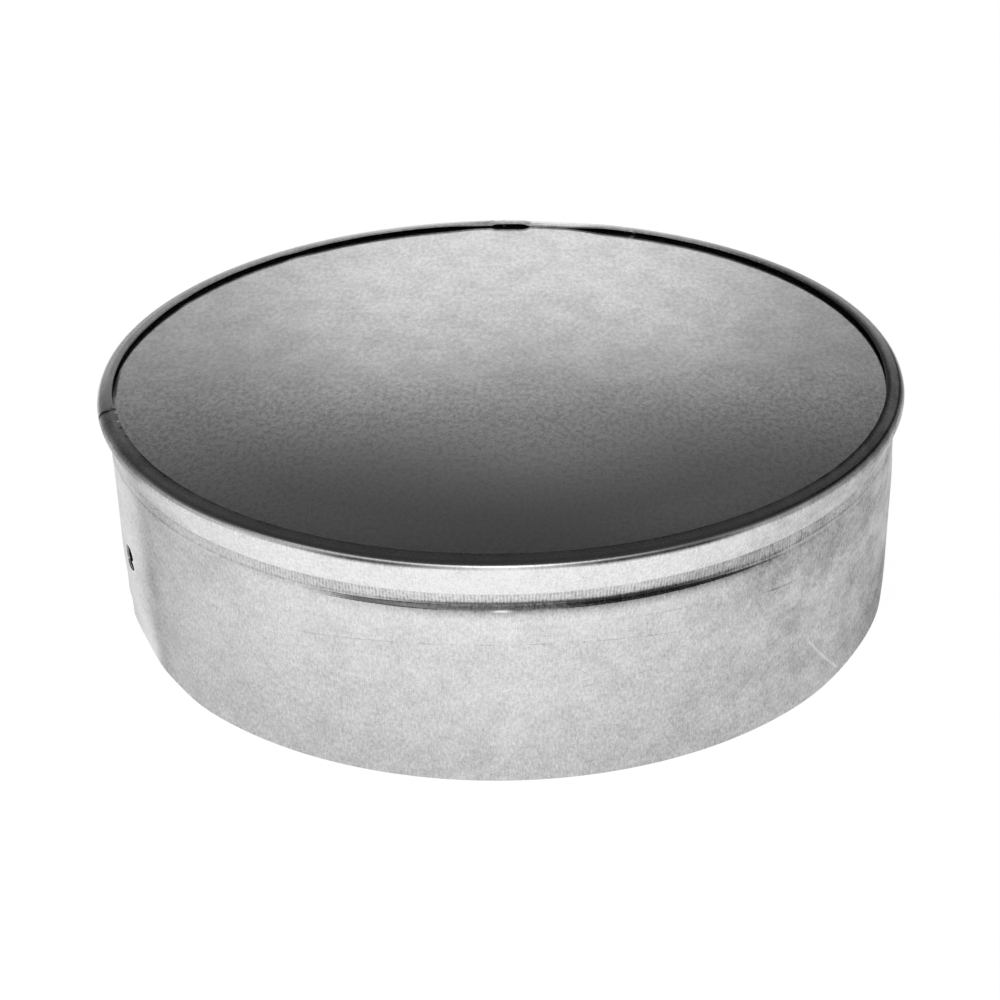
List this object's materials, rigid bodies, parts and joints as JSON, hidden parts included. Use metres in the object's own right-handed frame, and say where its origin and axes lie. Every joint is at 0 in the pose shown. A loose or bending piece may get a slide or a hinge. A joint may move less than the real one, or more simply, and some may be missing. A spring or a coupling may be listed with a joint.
{
  "type": "duct end cap",
  "caption": "Round sheet-metal end cap for ventilation duct: a rolled collar, creased and flared at the top, folded in over a flat end disc.",
  "frame": {"origin": "on the duct's axis, in the plane of the collar's open edge", "axes": "+Z along the duct's axis from the open edge to the closed end; the lap seam lies near -X"},
  "size_m": [0.2074, 0.2074, 0.0595],
  "materials": {
    "collar_steel": "bright galvanized, fine vertical roller marks and grey mottling",
    "disc_steel": "galvanized, fine blotchy spangle, smoother than the collar"
  },
  "bodies": {
    "root": {"collar": "collar_steel", "end_disc": "disc_steel"}
  },
  "joints": []
}
